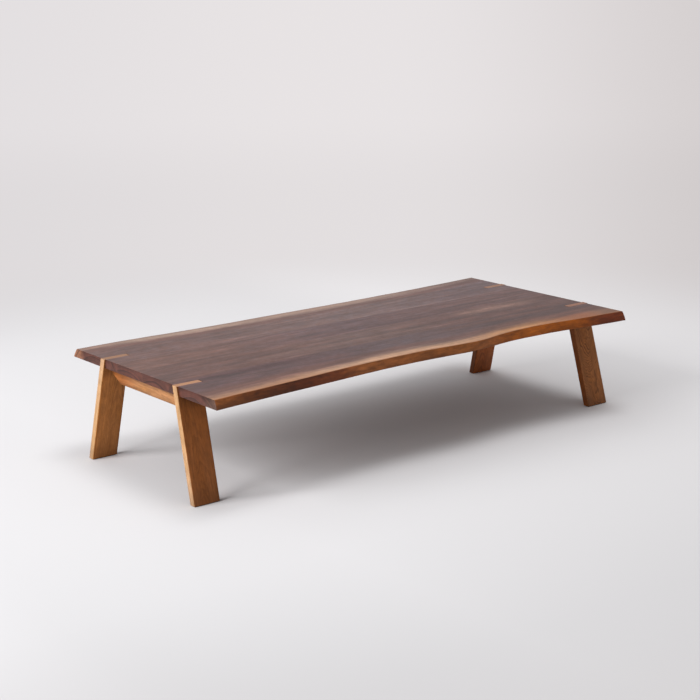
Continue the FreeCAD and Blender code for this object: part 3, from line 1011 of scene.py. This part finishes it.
# The legs' wide faces have far darker tones than their narrow sides: partly the plain-sawn face's
# own colour, partly painted shade.
LEGS = {
    "leg_front_left": dict(
        lie=leg_lie(-1, -1),
        tones=board_tones(
            PALE_SIDE, colour(0.245, 0.079, 0.018), colour(0.38, 0.187, 0.096), SHADED_INNER_SIDE
        ),
        heart=(0.0, 0.046, 0.010),
        lift=0.075,
        grain=0.5,
        waver=0.024,
        painted_top_shade={"Under": 0.62, "Inner_Part": 0.86},
        seed=2.3,
    ),
    "leg_rear_left": dict(
        lie=leg_lie(-1, 1),
        tones=board_tones(
            PALE_SIDE, colour(0.385, 0.140, 0.031), colour(0.27, 0.138, 0.074), SHADED_INNER_SIDE
        ),
        heart=(0.0, 0.060, -0.030),
        lift=0.05,
        grain=0.9,
        painted_top_shade={"Under": 0.68, "Inner_Part": 0.80},
        seed=5.9,
    ),
    "leg_front_right": dict(
        lie=leg_lie(1, -1),
        tones=board_tones(
            PALE_SIDE, colour(0.300, 0.104, 0.026), colour(0.289, 0.138, 0.089), SHADED_INNER_SIDE
        ),
        heart=(0.0, 0.046, -0.004),
        lift=-0.20,
        grain=1.6,
        waver=0.055,
        painted_top_shade={"Under": 0.95},
        seed=9.2,
    ),
    "leg_rear_right": dict(
        lie=leg_lie(1, 1),
        tones=board_tones(
            PALE_SIDE, colour(0.360, 0.093, 0.016), colour(0.305, 0.157, 0.098), DEEPER_SHADED_INNER_SIDE
        ),
        heart=(0.0, 0.055, 0.012),
        lift=0.12,
        painted_top_shade={"Under": 0.8},
        seed=14.8,
    ),
}
for leg, wood in LEGS.items():
    dress(leg, oak(leg + "_oak", painted_shade_levels=LEG_FOOT_PAINTED_SHADE, **wood))

RAIL = dict(
    tones=board_tones(
        colour(0.33, 0.145, 0.048), colour(0.365, 0.162, 0.058), colour(0.30, 0.14, 0.07)
    ),
    heart=(0.0, 0.09, 0.02),
    lift=0.02,
    grain=0.5,
    # Painted shade: the rails go darker at their lower arris and much darker close under the top's
    # overhang.
    painted_shade_levels=((0.288, 0.304, 0.64, 1.0), (0.314, 0.334, 1.0, 0.39)),
    # Painted shade beside the rear legs: darker and redder towards each rail's rear end.
    rear=(colour(0.268, 0.088, 0.022), 0.035, 0.165),
)
PLAIN_TONES = board_tones(
    colour(0.36, 0.18, 0.075), colour(0.38, 0.19, 0.080), colour(0.30, 0.15, 0.08)
)
BATTEN = dict(tones=PLAIN_TONES, heart=(0.0, 0.02, -0.06), lift=0.06, grain=0.8)
TONGUE = dict(tones=PLAIN_TONES, heart=(0.0, 0.1, 0.2))
for end, side_x in SIDES.items():
    rail_lie = cross_lie(side_x * RAIL_X, RAIL_Z, ALONG_TABLE)
    dress("rail_" + end, oak("rail_%s_oak" % end, rail_lie, 18.4 + side_x, **RAIL))
    batten_lie = cross_lie(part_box("cross_batten_" + end)[0][0], UNDERSIDE, UP, DOWN)
    dress("cross_batten_" + end, oak("batten_%s_oak" % end, batten_lie, 23.0 + side_x, **BATTEN))
tongue_wood = oak("tongue_wood", cross_lie(0.0, TONGUE_Z, UP), 27.0, **TONGUE)
for joint in ("front", "middle", "rear"):
    dress(joint + "_joint_tongues", tongue_wood)


# Metal parts and felt pads

METALS = {
    "rail_bolts": metal(
        "blackened_steel", tint=colour(0.055, 0.055, 0.060), dull=colour(0.030, 0.029, 0.028),
        roughness=0.38, scratch=colour(0.35, 0.34, 0.33),
    ),
    "bolt_washers": metal(
        "zinc_plate", tint=colour(0.58, 0.60, 0.62), dull=colour(0.42, 0.43, 0.44),
        roughness=0.30, scratch=colour(0.72, 0.73, 0.74),
    ),
    "top_inserts": metal(
        "plain_brass", tint=colour(0.72, 0.52, 0.22), dull=colour(0.48, 0.34, 0.15),
        roughness=0.28, scratch=colour(0.85, 0.68, 0.35),
    ),
    "batten_screws": metal(
        "yellow_zinc", tint=colour(0.66, 0.55, 0.30), dull=colour(0.45, 0.40, 0.28),
        roughness=0.32, scratch=colour(0.75, 0.72, 0.62),
    ),
}
pad_felt = felt("pad_felt")
for end in SIDES:
    for parts, made_of in METALS.items():
        dress(end + "_" + parts, made_of)
    for foot in ("foot_pad_front_", "foot_pad_rear_"):
        dress(foot + end, pad_felt)


# Floor, light and camera

FLOOR_REACH = 60.0
FLOOR_LEFT = colour(0.78, 0.775, 0.792)
FLOOR_RIGHT = colour(0.75, 0.740, 0.752)
FAR_LEFT = colour(0.735, 0.707, 0.717)
FAR_MIDDLE = colour(0.765, 0.733, 0.739)
FAR_RIGHT = colour(0.625, 0.589, 0.589)
FILL_COLOUR = colour(0.356, 0.350, 0.350)
TO_THE_RIGHT = (0.794, -0.608, 0.0)  # on the floor, as the photograph shows it
TO_THE_BACK = (0.608, 0.794, 0.0)
STANDING_OFF = 6.4  # how far in front of the table the far tones are judged from


def shows_background(s, rays):
    """One where the camera, a gloss or a clear part looks, and nothing where light only falls."""
    mirrored = s.math("ADD", rays["Is Glossy Ray"], rays["Is Transmission Ray"])
    return s.math("ADD", rays["Is Camera Ray"], mirrored, clamp=True)


def floor_paper():
    """Pale paper: the shadow near the table, with painted light and shade in its tone, and an even
    tone far off. It is clear from below.
    """
    material = bpy.data.materials.new("floor_paper")
    material.use_nodes = True
    tree = material.node_tree
    tree.nodes.clear()
    s = Sketch(tree)
    place = s.add("TexCoord").outputs["Object"]
    x, y, _ = s.parts(place)
    sideways = s.vector("DOT_PRODUCT", place, TO_THE_RIGHT)
    away = s.vector("DOT_PRODUCT", place, TO_THE_BACK)
    # Painted light and shade in the floor's tone: darker at the far left and at the front, lighter
    # behind and to the right, most over the shadow that the left lamp casts to the right of the
    # table.
    tone = s.mix(s.span(sideways, -1.6, 1.8), FLOOR_LEFT, FLOOR_RIGHT)
    painted_light_and_shade = s.product(
        s.span(x, -1.7, -0.8, 0.87, 1.0),
        s.step(x, 0.95, 1.6, 1.0, 1.10),
        s.span(x, -1.6, 1.6, 0.86, 1.14),
        s.span(y, -1.7, -0.9, 0.94, 1.0),
        s.step(y, 0.6, 2.2, 1.0, 1.08),
    )
    lit = s.add("BsdfDiffuse", {"Color": s.shaded(tone, painted_light_and_shade)})
    bearing = s.math("DIVIDE", sideways, s.total(s.math("MAXIMUM", away, 0.0), STANDING_OFF))
    far_tone = s.mix(s.step(bearing, -0.22, -0.02), FAR_LEFT, FAR_MIDDLE)
    far_tone = s.mix(s.step(bearing, 0.02, 0.25), far_tone, FAR_RIGHT)
    plain = s.add("Emission", {"Color": s.shaded(far_tone, s.step(away, 5.0, 10.5, 1.0, 1.05))})
    rays = s.add("LightPath").outputs
    far_off = s.step(s.vector("LENGTH", place), 1.7, 3.6)
    share = s.product(far_off, shows_background(s, rays))
    both = s.add("MixShader", {0: share, 1: lit.outputs[0], 2: plain.outputs[0]})
    from_below = s.product(s.add("NewGeometry").outputs["Backfacing"], rays["Is Camera Ray"])
    clear = s.add("BsdfTransparent")
    shown = s.add("MixShader", {0: from_below, 1: both.outputs[0], 2: clear.outputs[0]})
    s.add("OutputMaterial", {0: shown.outputs[0]})
    return material


def pale_floor():
    """A wide pale floor."""
    mesh = bpy.data.meshes.new("floor")
    far = FLOOR_REACH
    corners = [(-far, -far, 0.0), (far, -far, 0.0), (far, far, 0.0), (-far, far, 0.0)]
    mesh.from_pydata(corners, [], [(0, 1, 2, 3)])
    mesh.materials.append(floor_paper())
    floor = bpy.data.objects.new("floor", mesh)
    bpy.context.scene.collection.objects.link(floor)


def pale_world():
    """Little light from all round, and a pale tone where camera or gloss sees past the floor."""
    world = bpy.data.worlds.new("room")
    bpy.context.scene.world = world
    world.use_nodes = True
    tree = world.node_tree
    tree.nodes.clear()
    s = Sketch(tree)
    seen = shows_background(s, s.add("LightPath").outputs)
    fill = s.add("Background", {"Color": FILL_COLOUR, "Strength": 1.0})
    seen_tone = s.add("Background", {"Color": FAR_LEFT, "Strength": 1.0})
    both = s.add("MixShader", {0: seen, 1: fill.outputs[0], 2: seen_tone.outputs[0]})
    s.add("OutputWorld", {0: both.outputs[0]})


def soft_lamp(name, place, aim, size, power, mirrored=True):
    """A wide lamp. One that isn't mirrored lights the wood but leaves no sheen on it."""
    lamp = bpy.data.lights.new(name, "AREA")
    lamp.shape = "RECTANGLE"
    lamp.size, lamp.size_y = size
    lamp.energy = power
    made = bpy.data.objects.new(name, lamp)
    bpy.context.scene.collection.objects.link(made)
    made.visible_glossy = mirrored
    made.location = place
    made.rotation_euler = (Vector(aim) - Vector(place)).to_track_quat("-Z", "Y").to_euler()


def photo_camera():
    """The camera, from the angle and distance that the photograph's lines give."""
    azimuth, elevation, roll = math.radians(-37.447), math.radians(14.007), math.radians(-0.975)
    distance = 6.57246
    target = Vector((0.32683, 0.49044, 0.150))
    level = math.cos(elevation)
    back = Vector((math.sin(azimuth) * level, -math.cos(azimuth) * level, math.sin(elevation)))
    right = (-back).cross(Vector(UP)).normalized()
    up = right.cross(-back)
    turned_right = right * math.cos(roll) + up * math.sin(roll)
    turned_up = up * math.cos(roll) - right * math.sin(roll)
    view = Matrix((turned_right, turned_up, back)).transposed().to_4x4()
    view.translation = target + back * distance
    data = bpy.data.cameras.new("photo_camera")
    data.sensor_width = 36.0
    data.lens = 86.52
    data.clip_start, data.clip_end = 0.05, 200.0
    camera = bpy.data.objects.new("photo_camera", data)
    bpy.context.scene.collection.objects.link(camera)
    camera.matrix_world = view
    bpy.context.scene.camera = camera


pale_floor()
pale_world()
soft_lamp(
    "overhead_softbox", place=(0.75, -0.70, 7.0), aim=(0.1, 0.0, 0.0), size=(3.4, 2.5),
    power=158.0,
)
soft_lamp(
    "left_softbox", place=(-4.3, 0.15, 2.15), aim=(0.0, 0.0, 0.25), size=(2.8, 2.8),
    power=223.0, mirrored=False,
)
soft_lamp("rear_softbox", place=(-0.1, 3.7, 3.7), aim=(0.0, 0.0, 0.2), size=(5.1, 3.0), power=20.0)
photo_camera()
bpy.context.scene.view_settings.view_transform = "Standard"
